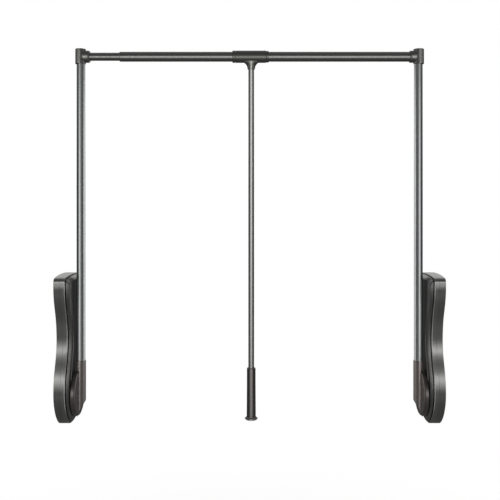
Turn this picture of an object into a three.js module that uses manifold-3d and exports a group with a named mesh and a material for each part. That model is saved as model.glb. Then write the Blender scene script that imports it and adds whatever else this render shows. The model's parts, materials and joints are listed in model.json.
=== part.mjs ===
// Pull down closet rod: two spring cases on the side walls of a wardrobe carry a pair of arms,
// a telescopic hanging rail joins the arms, and a pull rod hangs from the rail.
// Millimetres. X runs along the rail, -Y is the open front of the wardrobe, Z is up.
// The origin lies midway between the walls, in the plane of the arms, level with the case bottoms.

import * as THREE from "three";
import { mergeVertices } from "three/addons/utils/BufferGeometryUtils.js";
import Module from "manifold-3d";

const wasm = await Module();
wasm.setup();

// Overall sizes
const wall_span = 830; // wall face to wall face, at the narrowest setting
const rail_height = 805; // case bottom to rail axis
const gap = 0.3; // between pieces that seat on each other or slide in each other
const overrun = 2; // how far a cut runs past the material

// Case: one outline, drawn in at the waist, in shares of its height and of its half depth
const case_height = 327;
const case_half_depth = 64;
const outline_shares = [
  [0, 0.13], [0.006, 0.24], [0.022, 0.39], [0.049, 0.56], [0.088, 0.735], [0.129, 0.862],
  [0.165, 0.94], [0.2, 0.985], [0.235, 1], [0.292, 0.98], [0.35, 0.92], [0.405, 0.822],
  [0.45, 0.728], [0.508, 0.64], [0.57, 0.607], [0.64, 0.63], [0.715, 0.705], [0.79, 0.845],
  [0.85, 0.948], [0.91, 1], [0.95, 1], [0.974, 0.985], [0.985, 0.93], [0.991, 0.8],
  [0.997, 0.5], [1, 0.18],
];
const outline_step_count = 5; // points worked out for each row of the table
const outline_slack = 0.5; // points closer than this to a straight line are left out
const outline_edge_least = 3.2; // shortest edge, wider than the rounding of the cover
const shell_wall = 2.5;
const shell_round = 2.4; // rounded inner edge of the front shell
const back_shell_depth = 13.7; // wall face to the parting line
const front_shell_depth = 24; // wall face to the inner face of the front shell
const cover_inset = 4.5; // how far the inner cover stands in from the case outline
const cover_rise = 6.7; // inner cover above the front shell
const cover_round = 2.6;

// Wall plate
const plate_thickness = 2;
const plate_margin = 0.5; // round the plate, inside the back shell
const wall_hole_radius = 2.6;
const wall_hole_shares = [[0.72, 0.917], [0.656, 0.135]]; // of the half depth, of the height

// Case screws and the posts they pass through
const case_screw_radius = 1.9;
const case_screw_head_radius = 4;
const case_screw_head_height = 2.2;
const post_radius = 5;
const upper_post_share = 0.908; // of the case height
const lower_post_reach = 36; // in front of the pivot

// Pivot
const pivot_height = 66;
const shaft_radius = 6;
const shaft_flange_radius = 10;
const shaft_flange_height = 5.2;
const sleeve_radius = 12;
const sleeve_square = 16.4; // square end of the gear sleeve, in the arm holder
const sleeve_square_length = 5.8;
const bush_wall = 2.7;
const bush_flange_radius = 18;
const bush_flange_height = 2.3;
const pivot_screw_radius = 2.4;
const pivot_screw_length = 16;
const pivot_screw_head_radius = 6;
const pivot_screw_head_height = 3.2;

// Drive gear and rack
const gear_module = 2;
const gear_teeth = 20;
const pressure_angle = (20 * Math.PI) / 180;
const gear_width = 8;
const tooth_backlash = 0.5;
const tooth_foot = 0.5; // root clearance below the mating tooth tip
const rack_back = 7.5; // solid bar behind the rack teeth
const arm_swing = (100 * Math.PI) / 180; // from upright to pulled down
const rack_foot_margin = 11; // teeth left below the gear when the arms are down

// Crosshead on the rack, spring and damper
const crosshead_rise = 10; // above the gear teeth
const crosshead_height = 10;
const line_offset = 17; // spring axis behind the pivot plane, damper axis in front of it
const spring_wire_radius = 1.2;
const spring_radius = 6.2; // to the middle of the wire
const spring_turns = 9;
const spring_guide_radius = 4.2;
const spring_guide_height = 10;
const spring_seat_radius = 7.4;
const spring_seat_height = 3;
const bracket_drop = 57; // below the top of the case
const bracket_height = 9;
const bracket_half_length = 27;
const bracket_thickness = 16.4;
const damper_radius = 7.4;
const damper_wall = 2.2;
const damper_length_share = 0.643; // of the way from the crosshead to the bracket
const damper_rod_radius = 2.8;
const damper_piston_height = 8;
const damper_rod_overlap = 16; // rod and piston inside the cylinder at rest
const damper_stud_radius = 3;
const damper_stud_height = 6;
const rod_stud_radius = 2;

// Arm holder
const hub_radius = 50;
const hub_thickness = 9.6;
const hub_lift = 0.8; // above the inner cover
const hub_round = 3;
const socket_radius = 11.4;
const socket_top = 136;
const socket_floor = 84;
const holder_toe = 14; // lowest point of the socket, above the case bottom
const holder_slant_shares = [[1, 0.3], [0.955, 0.277], [0.56, 0.161], [0.2, 0]];
const arm_pin_radius = 2;
const arm_pin_height = 112;

// Arms, elbows and their screws
const arm_radius = 9.5;
const arm_wall = 1.4;
const elbow_radius = 11.6;
const elbow_offset = 0.8; // the sleeve stands out from the arm's axis, away from the middle
const elbow_half_height = 16.6; // with the cap on top
const elbow_chamfer = 1.8;
const stub_offset = 3; // arm axis to the start of the stub that holds the rail
const stub_length = 16.7;
const stub_radius = 13.3;
const stub_neck = 2.3; // how much slimmer the stub is where it leaves the sleeve
const stub_flare = 3;
const stub_chamfer = 1.5;
const arm_top_cover = 4; // elbow material above the arm tube
const cap_thickness = 1.1;
const cap_round = 0.5;
const elbow_screw_radius = 2.4;
const plug_length = 30;
const screw_depth_in_plug = 18;

// Rails
const inner_rail_radius = 8.9;
const inner_rail_wall = 1.2;
const inner_rail_short = 208.1; // free end of the inner rail to the right elbow
const outer_rail_radius = 10.8;
const outer_rail_wall = 0.9;
const outer_rail_short = 66.1; // mouth of the outer rail to the left elbow
const mouth_bush_length = 26;
const mouth_bush_lip = 1.6;
const bush_thickness = 0.5;
const glide_length = 18;
const glide_neck = 12; // part of the glide inside the inner rail

// Connector, pull rod and grip
const connector_left = -38;
const connector_right = 42;
const connector_radius = 13;
const left_ring_length = 6.5;
const right_ring_length = 5.5;
const right_ring_radius = 12.3;
const ring_chamfer = 0.8;
const rod_axis = 3.5; // right of the middle
const rod_radius = 6.35;
const rod_wall = 1.2;
const stem_bottom = 28.2; // below the rail axis
const stem_flare_shares = [[1, 0], [0.78, 0.22], [0.62, 0.42], [0.52, 0.66], [0.47, 1]];
const stem_flare_radius = 16.2;
const stem_flare_height = 15.5;
const stem_flat = 11.5; // half depth of the stem, front to back
const stem_socket_depth = 11;
const stem_screw_radius = 1.6;
const stem_screw_length = 3.6;
const stem_screw_rise = 5; // above the stem bottom
const grip_top = 119.5;
const grip_bottom = 13.2;
const grip_top_radius = 9.5;
const grip_bottom_radius = 10;
const grip_chamfer = 1.2;
const grip_overlap = 76; // rod inside the grip
const end_cap_bottom = 5.8;
const end_cap_radius = 14.2;
const end_cap_edge_shares = [[0.8, 0], [0.97, 0.12], [1, 0.3], [0.95, 0.55], [0.72, 1]];
const end_cap_plug = 14;

// Round pieces: faces round a full turn
const fine_faces = 36;
const round_faces = 20;
const small_faces = 10;

// Finishes, as the photograph shows them
const charcoal = { color: 0x4a4946, roughness: 0.38, metalness: 0.25 };
const dark_holder = { color: 0x3f3835, roughness: 0.4, metalness: 0.2 };
const satin_tube = { color: 0x8d9192, roughness: 0.28, metalness: 0.95 };
const dark_rail = { color: 0x5c5d5a, roughness: 0.28, metalness: 0.9 };
const dark_fitting = { color: 0x3f403c, roughness: 0.42, metalness: 0.35 };
const grip_finish = { color: 0x2e2a28, roughness: 0.45, metalness: 0.05 };
const steel = { color: 0x9a9c9e, roughness: 0.4, metalness: 0.9 };
const pale_plastic = { color: 0xcfcdc6, roughness: 0.6, metalness: 0 };

// Heights and depths that several pieces share. Depth is counted from the wall face inwards.
const arm_depth = front_shell_depth + gap + cover_rise + hub_lift + socket_radius;
const cover_top = front_shell_depth + gap + cover_rise;
const holder_base = cover_top + hub_lift;
const holder_top = arm_depth + socket_radius;
const pitch_radius = (gear_module * gear_teeth) / 2;
const gear_top_radius = pitch_radius + gear_module;
const gear_start = plate_thickness + gap + shaft_flange_height + gap;
const gear_middle = gear_start + gear_width / 2;
const gear_end = gear_start + gear_width;
const floor_start = front_shell_depth - shell_wall;
const bush_outer = sleeve_radius + gap + bush_wall;
const crosshead_bottom = pivot_height + gear_top_radius + crosshead_rise;
const crosshead_top = crosshead_bottom + crosshead_height;
const rack_travel = pitch_radius * arm_swing;
const rack_bottom = pivot_height - rack_travel - rack_foot_margin;
const screw_seat_depth = holder_top - pivot_screw_head_height - socket_radius / 4;
const bracket_bottom = case_height - bracket_drop;
const damper_length = (bracket_bottom - gap - crosshead_top) * damper_length_share;
const damper_bottom = bracket_bottom - gap - damper_length;
const upper_post = { y: 0, z: upper_post_share * case_height };
const lower_post = { y: -lower_post_reach, z: pivot_height };
const rail_start_depth = arm_depth + arm_radius + gap;
const elbow_axis = arm_depth - elbow_offset;
const elbow_side = elbow_axis - elbow_radius;
const elbow_bottom = rail_height - elbow_half_height;
const sleeve_top = rail_height + elbow_half_height - cap_thickness - gap;
const stub_start = arm_depth + stub_offset;
const stub_end = stub_start + stub_length;
const inner_rail_end = wall_span / 2 - stub_end - inner_rail_short;
const outer_rail_end = outer_rail_short - (wall_span / 2 - stub_end);
const connector_bore = outer_rail_radius + gap;
const ring_gap = gap;

// Solids

function solidOf(geometry) {
  const bare = geometry.index ? geometry.toNonIndexed() : geometry.clone();
  bare.deleteAttribute("normal");
  bare.deleteAttribute("uv");
  const merged = mergeVertices(bare, 1e-4);
  return new wasm.Manifold(
    new wasm.Mesh({
      numProp: 3,
      vertProperties: new Float32Array(merged.attributes.position.array),
      triVerts: new Uint32Array(merged.index.array),
    }),
  );
}

function geometryOf(solid) {
  const mesh = solid.getMesh();
  const points = new Float32Array(mesh.numVert * 3);
  for (let i = 0; i < mesh.numVert; i += 1) {
    for (let k = 0; k < 3; k += 1) points[i * 3 + k] = mesh.vertProperties[i * mesh.numProp + k];
  }
  const geometry = new THREE.BufferGeometry();
  geometry.setAttribute("position", new THREE.BufferAttribute(points, 3));
  geometry.setIndex(new THREE.BufferAttribute(new Uint32Array(mesh.triVerts), 1));
  geometry.computeVertexNormals();
  return geometry;
}

const joined = (...solids) => solids.reduce((all, one) => all.add(one));
const cut = (solid, ...tools) => tools.reduce((left, tool) => left.subtract(tool), solid);

// Turns a geometry made along Y so that it lies along the named axis, and puts it at a place.
function laid(geometry, axis, place = {}) {
  if (axis === "x") geometry.rotateZ(-Math.PI / 2);
  if (axis === "z") geometry.rotateX(Math.PI / 2);
  geometry.translate(place.x ?? 0, place.y ?? 0, place.z ?? 0);
  return geometry;
}

// A profile of [radius, distance along the axis] turned round the axis.
// It starts and ends on the axis, or closes on itself as a ring.
function turned(axis, profile, place, faces = round_faces) {
  const points = profile.map(([radius, along]) => new THREE.Vector2(radius, along));
  return solidOf(laid(new THREE.LatheGeometry(points, faces), axis, place));
}

function cylinder(axis, radius, from, to, place, faces = round_faces) {
  return turned(axis, [[0, from], [radius, from], [radius, to], [0, to]], place, faces);
}

function tube(axis, radius, bore, from, to, place, faces = round_faces) {
  const ring = [[radius, from], [radius, to], [bore, to], [bore, from], [radius, from]];
  return turned(axis, ring, place, faces);
}

function block(x, y, z) {
  const box = new THREE.BoxGeometry(x[1] - x[0], y[1] - y[0], z[1] - z[0]);
  box.translate((x[0] + x[1]) / 2, (y[0] + y[1]) / 2, (z[0] + z[1]) / 2);
  return solidOf(box);
}

// A flat outline of [y, z] points carried along X, with its far and near edges rounded by round.
function slab(points, from, to, round = 0) {
  const shape = new THREE.Shape(points.map(([y, z]) => new THREE.Vector2(y, z)));
  const geometry = new THREE.ExtrudeGeometry(shape, {
    depth: to - from - 2 * round,
    bevelEnabled: round > 0,
    bevelThickness: round,
    bevelSize: round,
    bevelOffset: -round,
    bevelSegments: 1,
  });
  geometry.translate(0, 0, from + round);
  const [along_x, along_y, along_z] = [[1, 0, 0], [0, 1, 0], [0, 0, 1]].map(
    (v) => new THREE.Vector3(...v),
  );
  geometry.applyMatrix4(new THREE.Matrix4().makeBasis(along_y, along_z, along_x));
  return solidOf(geometry);
}

// Case outline

const halfOutline = outline_shares.map(([z, y]) => [y * case_half_depth, z * case_height]);
const outlineKnots = [
  ...halfOutline,
  ...halfOutline.map(([y, z]) => [-y, z]).reverse(),
].map(([y, z]) => new THREE.Vector3(y, z, 0));
const outlineCurve = new THREE.CatmullRomCurve3(outlineKnots, true, "centripetal");
const caseOutline = outlineCurve
  .getPoints(outlineKnots.length * outline_step_count)
  .slice(0, -1)
  .map((p) => new THREE.Vector2(p.x, p.y));

function distanceToOutline(point) {
  return caseOutline.reduce((least, a, i) => {
    const b = caseOutline[(i + 1) % caseOutline.length];
    const along = b.clone().sub(a);
    const share = THREE.MathUtils.clamp(point.clone().sub(a).dot(along) / along.lengthSq(), 0, 1);
    return Math.min(least, point.distanceTo(a.clone().addScaledVector(along, share)));
  }, Infinity);
}

// A closed run of points without those that lie within slack of a straight line.
function simplified(points, slack) {
  const kept = new Set();
  const visit = (from, to) => {
    kept.add(from).add(to);
    const along = points[to].clone().sub(points[from]);
    let farthest = 0;
    let place = from;
    for (let i = from + 1; i < to; i += 1) {
      const off = Math.abs(points[i].clone().sub(points[from]).cross(along)) / along.length();
      if (off > farthest) [farthest, place] = [off, i];
    }
    if (farthest > slack) {
      visit(from, place);
      visit(place, to);
    }
  };
  const half = Math.floor(points.length / 2);
  visit(0, half);
  visit(half, points.length - 1);
  return points.filter((_, i) => kept.has(i));
}

// The same run with each point at least the given way from the one kept before it.
function spaced(points, least) {
  const kept = [points[0]];
  for (const point of points.slice(1)) {
    if (point.distanceTo(kept[kept.length - 1]) >= least) kept.push(point);
  }
  if (kept[0].distanceTo(kept[kept.length - 1]) < least) kept.pop();
  return kept;
}

// The case outline moved inwards; points that a tight corner folds over are left out.
function outlineInside(inset) {
  const keep_share = 0.999;
  const moved = caseOutline
    .map((p, i) => {
      const before = caseOutline[(i + caseOutline.length - 1) % caseOutline.length];
      const after = caseOutline[(i + 1) % caseOutline.length];
      const along = after.clone().sub(before).normalize();
      return new THREE.Vector2(p.x - along.y * inset, p.y + along.x * inset);
    })
    .filter((p) => distanceToOutline(p) >= inset * keep_share);
  return spaced(simplified(moved, outline_slack), outline_edge_least).map((p) => [p.x, p.y]);
}

// Gear teeth: involute flanks on a gear, straight flanks on its rack

function gearOutline() {
  const base_radius = pitch_radius * Math.cos(pressure_angle);
  const root_radius = pitch_radius - gear_module - tooth_foot;
  const involute = (angle) => Math.tan(angle) - angle;
  const tooth_thickness = (Math.PI * gear_module - tooth_backlash) / 2;
  const half_at_pitch = tooth_thickness / 2 / pitch_radius;
  const halfAngle = (radius) => {
    const flank = Math.acos(Math.min(1, base_radius / radius));
    return half_at_pitch + involute(pressure_angle) - involute(flank);
  };
  const flank_shares = [0, 1];
  const radii = flank_shares.map((s) => base_radius + s * (gear_top_radius - base_radius));
  const flank = [[root_radius, halfAngle(base_radius)], ...radii.map((r) => [r, halfAngle(r)])];
  const points = [];
  for (let tooth = 0; tooth < gear_teeth; tooth += 1) {
    const middle = (tooth / gear_teeth) * 2 * Math.PI;
    const rising = flank.map(([r, a]) => [r, middle - a]);
    const falling = flank.map(([r, a]) => [r, middle + a]).reverse();
    for (const [r, a] of [...rising, ...falling]) {
      points.push([r * Math.cos(a), pivot_height + r * Math.sin(a)]);
    }
  }
  return points;
}

// The rack's toothed edge from its foot up: [y, z] points, a gap level with the pivot.
function rackEdge(bottom, top) {
  const pitch = Math.PI * gear_module;
  const root = pitch_radius + gear_module + tooth_foot;
  const tip = pitch_radius - gear_module;
  const slope = Math.tan(pressure_angle);
  const half_at_pitch = (pitch - tooth_backlash) / 4;
  const half_root = half_at_pitch + (root - pitch_radius) * slope;
  const half_tip = half_at_pitch - (pitch_radius - tip) * slope;
  const edge = [];
  const first = Math.ceil((bottom + half_root - pivot_height) / pitch - 1 / 2);
  for (let k = first; ; k += 1) {
    const middle = pivot_height + (k + 1 / 2) * pitch;
    if (middle + half_root > top) return edge;
    edge.push([root, middle - half_root], [tip, middle - half_tip]);
    edge.push([tip, middle + half_tip], [root, middle + half_root]);
  }
}

// Pieces of one side, drawn from the wall face inwards along X

function wallPlate() {
  const holes = [
    ...wall_hole_shares.flatMap(([y, z]) => [[y, z], [-y, z]]).map(([y, z]) =>
      cylinder("x", wall_hole_radius, -overrun, plate_thickness + overrun,
        { y: y * case_half_depth, z: z * case_height }, small_faces)),
    ...[upper_post, lower_post].map((place) =>
      cylinder("x", case_screw_radius + gap, -overrun, plate_thickness + overrun, place,
        small_faces)),
  ];
  return cut(slab(outlineInside(shell_wall + plate_margin), 0, plate_thickness), ...holes);
}

function backShell() {
  return cut(
    slab(outlineInside(0), 0, back_shell_depth),
    slab(outlineInside(shell_wall), -overrun, back_shell_depth + overrun),
  );
}

function frontShell() {
  const start = back_shell_depth + gap;
  const beyond = case_half_depth * 2;
  const body = cut(
    slab(outlineInside(0), back_shell_depth - shell_round, front_shell_depth, shell_round),
    block([0, start], [-beyond, beyond], [-beyond, case_height + beyond]),
    slab(outlineInside(shell_wall), -overrun, floor_start),
  );
  const posts = [upper_post, lower_post].map((place) =>
    cylinder("x", post_radius, plate_thickness + gap, floor_start + shell_wall / 2, place,
      small_faces));
  return cut(
    joined(body, ...posts),
    ...[upper_post, lower_post].map((place) =>
      cylinder("x", case_screw_radius + gap, 0, front_shell_depth + overrun, place, small_faces)),
    cylinder("x", bush_outer + gap, floor_start - overrun, front_shell_depth + overrun,
      { z: pivot_height }),
  );
}

function innerCover() {
  const start = front_shell_depth + gap;
  const beyond = case_half_depth * 2;
  return cut(
    slab(outlineInside(cover_inset), start - cover_round - overrun, cover_top, cover_round),
    block([0, start], [-beyond, beyond], [-beyond, case_height + beyond]),
    slab(outlineInside(cover_inset + shell_wall), 0, cover_top - shell_wall),
    cylinder("x", bush_outer + gap, 0, cover_top + overrun, { z: pivot_height }),
  );
}

function caseScrew(place) {
  const under_head = front_shell_depth + gap;
  return turned("x", [
    [0, plate_thickness / 4], [case_screw_radius, plate_thickness / 4],
    [case_screw_radius, under_head], [case_screw_head_radius, under_head],
    [case_screw_head_radius, under_head + case_screw_head_height / 2],
    [case_screw_head_radius / 2, under_head + case_screw_head_height],
    [0, under_head + case_screw_head_height],
  ], place, small_faces);
}

function pivotShaft() {
  const start = plate_thickness + gap;
  const end = screw_seat_depth - gap;
  const body = turned("x", [
    [0, start], [shaft_flange_radius, start], [shaft_flange_radius, start + shaft_flange_height],
    [shaft_radius, start + shaft_flange_height], [shaft_radius, end], [0, end],
  ], { z: pivot_height });
  return cut(body, cylinder("x", pivot_screw_radius + gap,
    screw_seat_depth - pivot_screw_length - gap, end + overrun, { z: pivot_height }, small_faces));
}

function pivotScrew() {
  const under_head = screw_seat_depth + gap;
  return turned("x", [
    [0, under_head - pivot_screw_length], [pivot_screw_radius, under_head - pivot_screw_length],
    [pivot_screw_radius, under_head], [pivot_screw_head_radius, under_head],
    [pivot_screw_head_radius, under_head + pivot_screw_head_height * 0.6],
    [pivot_screw_head_radius * 0.7, under_head + pivot_screw_head_height],
    [0, under_head + pivot_screw_head_height],
  ], { z: pivot_height }, small_faces);
}

function pivotBush() {
  const flange_end = floor_start - gap;
  const bore = sleeve_radius + gap;
  return turned("x", [
    [bush_flange_radius, flange_end - bush_flange_height], [bush_flange_radius, flange_end],
    [bush_outer, flange_end], [bush_outer, cover_top], [bore, cover_top],
    [bore, flange_end - bush_flange_height], [bush_flange_radius, flange_end - bush_flange_height],
  ], { z: pivot_height });
}

function driveGear() {
  const square_end = holder_base + sleeve_square_length;
  const half = sleeve_square / 2;
  return cut(
    joined(
      slab(gearOutline(), gear_start, gear_end),
      cylinder("x", sleeve_radius, gear_middle, holder_base, { z: pivot_height }),
      block([gear_middle, square_end], [-half, half], [pivot_height - half, pivot_height + half]),
    ),
    cylinder("x", shaft_radius + gap, 0, square_end + overrun, { z: pivot_height }),
  );
}

function rack() {
  const bottom = rack_bottom;
  const back = pitch_radius + gear_module + tooth_foot + rack_back;
  const bar_front = pitch_radius + gear_module + tooth_foot;
  const front = -line_offset - spring_seat_radius;
  const plate = slab([
    [back, bottom], [back, crosshead_top], [front, crosshead_top], [front, crosshead_bottom],
    [bar_front, crosshead_bottom], ...rackEdge(bottom, crosshead_bottom - crosshead_rise).reverse(),
    [bar_front, bottom],
  ], gear_start, gear_end);
  const spring_line = { x: gear_middle, y: line_offset };
  const damper_line = { x: gear_middle, y: -line_offset };
  return cut(
    joined(
      plate,
      cylinder("z", spring_seat_radius, crosshead_top - spring_seat_height, crosshead_top,
        spring_line),
      cylinder("z", spring_guide_radius, crosshead_top - spring_seat_height,
        crosshead_top + spring_guide_height, spring_line, small_faces),
    ),
    cylinder("z", rod_stud_radius + gap, crosshead_bottom - overrun, crosshead_top + overrun,
      damper_line, small_faces),
  );
}

class Coil extends THREE.Curve {
  getPoint(share, target = new THREE.Vector3()) {
    const turn = share * spring_turns * 2 * Math.PI;
    const bottom = crosshead_top + gap + spring_wire_radius;
    const top = bracket_bottom - gap - spring_wire_radius;
    return target.set(
      gear_middle + spring_radius * Math.cos(turn),
      line_offset + spring_radius * Math.sin(turn),
      bottom + share * (top - bottom),
    );
  }
}

function spring() {
  const wire_sides = 5;
  const steps_per_turn = 8;
  const corners = Array.from({ length: wire_sides }, (_, i) => {
    const angle = (i / wire_sides) * 2 * Math.PI;
    return new THREE.Vector2(Math.cos(angle), Math.sin(angle)).multiplyScalar(spring_wire_radius);
  });
  return solidOf(new THREE.ExtrudeGeometry(new THREE.Shape(corners), {
    steps: spring_turns * steps_per_turn,
    extrudePath: new Coil(),
  }));
}

function topBracket() {
  const x = [plate_thickness + gap, plate_thickness + gap + bracket_thickness];
  const bottom = bracket_bottom;
  return cut(
    joined(
      block(x, [-bracket_half_length, bracket_half_length], [bottom, bottom + bracket_height]),
      cylinder("z", spring_guide_radius, bottom - spring_guide_height, bottom + overrun,
        { x: gear_middle, y: line_offset }, small_faces),
    ),
    cylinder("z", damper_stud_radius + gap, bottom - overrun, bottom + damper_stud_height + gap,
      { x: gear_middle, y: -line_offset }, small_faces),
  );
}

function damperCylinder() {
  const top = damper_bottom + damper_length;
  const line = { x: gear_middle, y: -line_offset };
  return cut(
    turned("z", [
      [0, damper_bottom], [damper_radius, damper_bottom], [damper_radius, top],
      [damper_stud_radius, top], [damper_stud_radius, top + damper_stud_height],
      [0, top + damper_stud_height],
    ], line),
    cylinder("z", damper_radius - damper_wall, damper_bottom - overrun, top - damper_wall, line),
  );
}

function damperRod() {
  const seat = crosshead_top + gap;
  const piston_top = damper_bottom + damper_rod_overlap;
  const piston_radius = damper_radius - damper_wall - gap;
  return turned("z", [
    [0, crosshead_bottom], [rod_stud_radius, crosshead_bottom], [rod_stud_radius, seat],
    [damper_rod_radius, seat], [damper_rod_radius, piston_top - damper_piston_height],
    [piston_radius, piston_top - damper_piston_height], [piston_radius, piston_top],
    [0, piston_top],
  ], { x: gear_middle, y: -line_offset }, small_faces);
}

function armHolder() {
  const hub_top = holder_base + hub_thickness;
  const hub = turned("x", [
    [0, holder_base], [hub_radius - hub_round / 3, holder_base],
    [hub_radius, holder_base + hub_round / 2], [hub_radius, hub_top - hub_round * 2],
    [hub_radius - hub_round / 2, hub_top - hub_round], [hub_radius - hub_round * 2, hub_top],
    [0, hub_top],
  ], { z: pivot_height }, fine_faces);
  const socket = cylinder("z", socket_radius, holder_toe, socket_top, { x: arm_depth }, round_faces);
  const slant_height = socket_top - holder_toe;
  const slant = holder_slant_shares.map(([across, up]) => [
    holder_base + across * (holder_top - holder_base), holder_toe + up * slant_height,
  ]);
  const corner = [holder_top + overrun, holder_toe - overrun];
  const outline = new THREE.Shape([
    [holder_top + overrun, slant[0][1]], ...slant, [slant[slant.length - 1][0], corner[1]], corner,
  ].map(([x, z]) => new THREE.Vector2(x, z)));
  const cutter = new THREE.ExtrudeGeometry(outline, { depth: 2 * socket_radius + 2 * overrun,
    bevelEnabled: false });
  cutter.translate(0, 0, -socket_radius - overrun);
  cutter.rotateX(Math.PI / 2);
  const half = sleeve_square / 2 + gap;
  return cut(
    joined(hub, cut(socket, solidOf(cutter))),
    cylinder("z", arm_radius + gap, socket_floor, socket_top + overrun, { x: arm_depth }),
    block([holder_base - overrun, holder_base + sleeve_square_length + gap], [-half, half],
      [pivot_height - half, pivot_height + half]),
    cylinder("x", shaft_radius + gap, holder_base - overrun, holder_top + overrun,
      { z: pivot_height }),
    cylinder("x", pivot_screw_head_radius + gap, screw_seat_depth, holder_top + overrun,
      { z: pivot_height }),
    cylinder("x", arm_pin_radius + gap, holder_base + overrun, holder_top + overrun,
      { z: arm_pin_height }, small_faces),
  );
}

function armPin() {
  const reach = socket_radius - overrun / 2;
  return cylinder("x", arm_pin_radius, arm_depth - reach + overrun / 2, arm_depth + reach,
    { z: arm_pin_height }, small_faces);
}

function armTube() {
  const top = sleeve_top - arm_top_cover;
  return cut(
    tube("z", arm_radius, arm_radius - arm_wall, socket_floor + gap, top - gap,
      { x: arm_depth }),
    cylinder("x", arm_pin_radius + gap, 0, 2 * arm_depth, { z: arm_pin_height }, small_faces),
    cylinder("x", elbow_screw_radius + gap, 0, 2 * arm_depth, { z: rail_height }, small_faces),
  );
}

function elbow(rail_radius) {
  const sleeve = turned("z", [
    [0, elbow_bottom], [elbow_radius - elbow_chamfer, elbow_bottom],
    [elbow_radius, elbow_bottom + elbow_chamfer], [elbow_radius, sleeve_top], [0, sleeve_top],
  ], { x: elbow_axis });
  const stub = turned("x", [
    [0, stub_start], [stub_radius - stub_neck, stub_start], [stub_radius, stub_start + stub_flare],
    [stub_radius, stub_end - stub_chamfer], [stub_radius - stub_chamfer, stub_end], [0, stub_end],
  ], { z: rail_height }, round_faces);
  return cut(
    joined(sleeve, stub),
    cylinder("z", arm_radius + gap, elbow_bottom - overrun, sleeve_top - arm_top_cover,
      { x: arm_depth }),
    cylinder("x", rail_radius + gap, rail_start_depth - gap, stub_end + overrun,
      { z: rail_height }),
    cylinder("x", elbow_screw_radius + gap, elbow_side - overrun, stub_end,
      { z: rail_height }, small_faces),
  );
}

function elbowCap() {
  const start = sleeve_top + gap;
  const top = start + cap_thickness;
  return turned("z", [
    [0, start], [elbow_radius, start], [elbow_radius, top - cap_round],
    [elbow_radius - cap_round, top], [0, top],
  ], { x: elbow_axis });
}

function elbowScrew() {
  return cylinder("x", elbow_screw_radius, elbow_side + gap,
    rail_start_depth + screw_depth_in_plug, { z: rail_height }, small_faces);
}

function railPlug(bore) {
  const start = rail_start_depth + gap;
  return cut(
    cylinder("x", bore - gap, start, start + plug_length, { z: rail_height }),
    cylinder("x", elbow_screw_radius + gap, start - overrun,
      rail_start_depth + screw_depth_in_plug + gap, { z: rail_height }, small_faces),
  );
}

// Pieces in the middle, drawn in place

const rail_reach = wall_span / 2 - rail_start_depth;
const rail_line = { z: rail_height };

function innerRail() {
  return tube("x", inner_rail_radius, inner_rail_radius - inner_rail_wall, -rail_reach,
    inner_rail_end, rail_line);
}

function innerRailGlide() {
  const bore = inner_rail_radius - inner_rail_wall - gap;
  const wide = outer_rail_radius - outer_rail_wall - gap;
  return turned("x", [
    [0, inner_rail_end - glide_neck], [bore, inner_rail_end - glide_neck],
    [bore, inner_rail_end + gap], [wide, inner_rail_end + gap],
    [wide, inner_rail_end + glide_length], [0, inner_rail_end + glide_length],
  ], rail_line);
}

function outerRail() {
  return tube("x", outer_rail_radius, outer_rail_radius - outer_rail_wall,
    outer_rail_end + mouth_bush_lip + gap, rail_reach, rail_line);
}

function mouthBush() {
  const bore = outer_rail_radius - outer_rail_wall - gap / 2 - bush_thickness;
  const body = outer_rail_radius - outer_rail_wall - gap / 2;
  const lip_end = outer_rail_end + mouth_bush_lip;
  return turned("x", [
    [outer_rail_radius, outer_rail_end], [outer_rail_radius, lip_end], [body, lip_end],
    [body, outer_rail_end + mouth_bush_length], [bore, outer_rail_end + mouth_bush_length],
    [bore, outer_rail_end], [outer_rail_radius, outer_rail_end],
  ], rail_line);
}

function clampRing(radius, from, to) {
  return turned("x", [
    [radius - ring_chamfer, from], [radius, from + ring_chamfer], [radius, to - ring_chamfer],
    [radius - ring_chamfer, to], [connector_bore, to], [connector_bore, from],
    [radius - ring_chamfer, from],
  ], rail_line);
}

function connector() {
  const sleeve = cylinder("x", connector_radius, connector_left + left_ring_length + ring_gap,
    connector_right - right_ring_length - ring_gap, rail_line);
  const stem_top = rail_height - stem_bottom + stem_flare_height;
  const flare = [...stem_flare_shares].reverse().map(([across, down]) => [
    across * stem_flare_radius, stem_top - down * stem_flare_height,
  ]);
  const stem = turned("z", [
    [0, flare[0][1]], ...flare, [stem_flare_radius, rail_height], [0, rail_height],
  ], { x: rod_axis });
  const reach = stem_flare_radius * 2;
  const flattened = stem.intersect(
    block([rod_axis - reach, rod_axis + reach], [-stem_flat, stem_flat],
      [rail_height - stem_bottom - overrun, rail_height - connector_bore / 2]),
  );
  return cut(
    joined(sleeve, flattened),
    cylinder("x", connector_bore, connector_left, connector_right, rail_line),
    cylinder("z", rod_radius + gap, rail_height - stem_bottom - overrun,
      rail_height - stem_bottom + stem_socket_depth, { x: rod_axis }),
    cylinder("y", stem_screw_radius + gap, 0, stem_flat + overrun,
      { x: rod_axis, z: rail_height - stem_bottom + stem_screw_rise }, small_faces),
  );
}

function stemScrew() {
  const start = rod_radius - rod_wall;
  return cylinder("y", stem_screw_radius, start, start + stem_screw_length,
    { x: rod_axis, z: rail_height - stem_bottom + stem_screw_rise }, small_faces);
}

function pullRod() {
  const top = rail_height - stem_bottom + stem_socket_depth - gap;
  return cut(
    tube("z", rod_radius, rod_radius - rod_wall, grip_top - grip_overlap, top, { x: rod_axis }),
    cylinder("y", stem_screw_radius + gap, 0, rod_radius + overrun,
      { x: rod_axis, z: rail_height - stem_bottom + stem_screw_rise }, small_faces),
  );
}

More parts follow.
